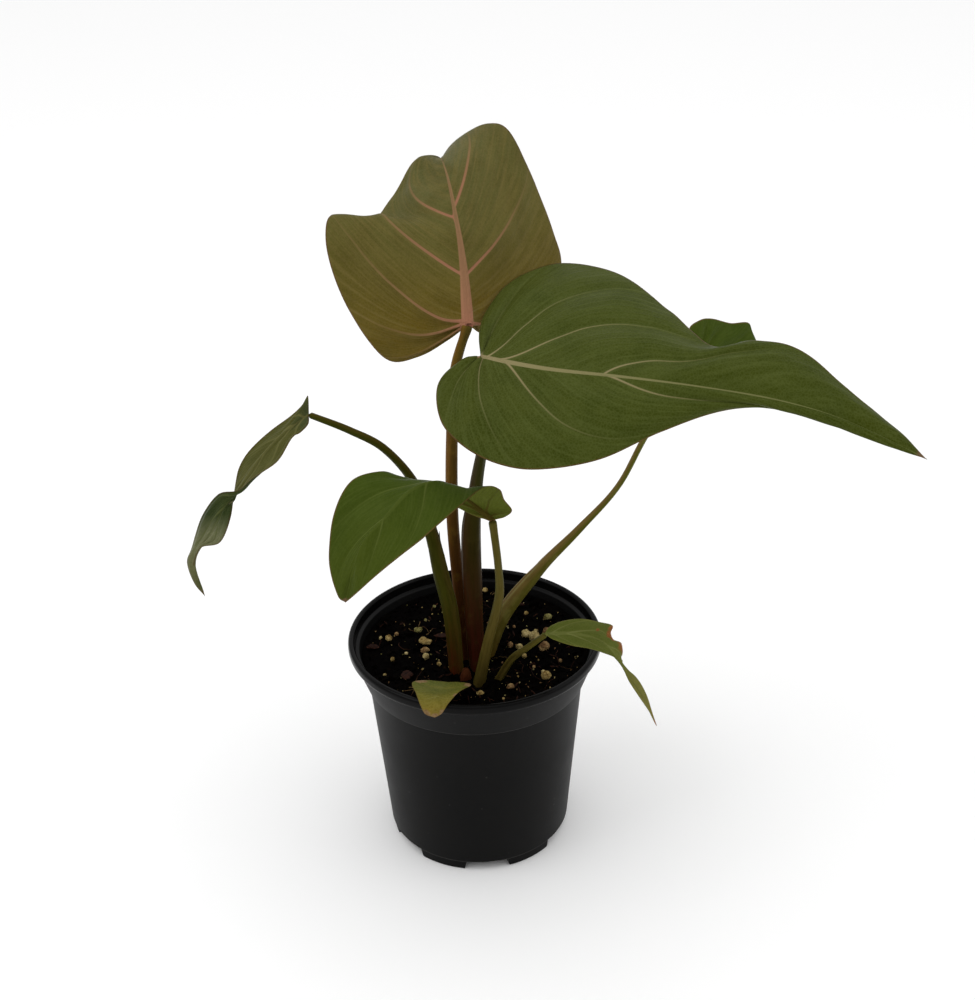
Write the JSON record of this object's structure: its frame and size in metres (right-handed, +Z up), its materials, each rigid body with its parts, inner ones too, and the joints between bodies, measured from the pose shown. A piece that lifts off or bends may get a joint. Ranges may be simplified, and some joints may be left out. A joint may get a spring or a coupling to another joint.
{
  "type": "potted philodendron",
  "caption": "Leafy philodendron on long arching stalks, rooted in potting mix inside a round tapered nursery pot with a rolled rim and a notched foot.",
  "frame": {"origin": "middle of the pot's foot, on the surface the pot stands on", "axes": "+Z up along the pot's axis, -Y to the side the plant is seen from, +X to that viewer's right"},
  "size_m": [0.2914, 0.1565, 0.3178],
  "materials": {
    "pot_plastic": "black moulded plastic, satin with fine pores, glossier on the rim",
    "potting_mix": "damp peat and bark mix, rough and matt",
    "leaf_underside": "olive-brown leaf underside with pink veins, satin",
    "leaf_green": "green leaf, satin, paler along the veins",
    "leaf_dark": "dark grey-green leaf, satin",
    "leaf_young": "light green young leaf, satin",
    "leaf_yellowed": "yellowed leaf with dry brown edges",
    "stalk_red": "red-brown stalk, satin",
    "stalk_green": "olive-green stalk flushed with red, satin",
    "perlite": "off-white expanded mineral, rough and porous",
    "bark": "reddish bark sliver, matt"
  },
  "bodies": {
    "root": {"pot": "pot_plastic", "soil": "potting_mix", "leaf_upper": "leaf_underside", "leaf_broad": "leaf_green", "leaf_rear": "leaf_green", "leaf_front": "leaf_green", "leaf_twisted": "leaf_dark", "leaf_young": "leaf_young", "leaf_scrap_on_rim": "leaf_yellowed", "stalk_upper": "stalk_red", "stalk_broad": "stalk_green", "stalk_rear": "stalk_green", "stalk_front": "stalk_green", "stalk_twisted": "stalk_green", "stalk_young": "stalk_green", "crown": "stalk_red", "perlite_01": "perlite", "perlite_02": "perlite", "perlite_03": "perlite", "perlite_04": "perlite", "perlite_05": "perlite", "perlite_06": "perlite", "perlite_07": "perlite", "perlite_08": "perlite", "perlite_09": "perlite", "perlite_10": "perlite", "perlite_11": "perlite", "perlite_12": "perlite", "bark_01": "bark", "bark_02": "bark", "bark_03": "bark", "bark_04": "bark"}
  },
  "joints": []
}
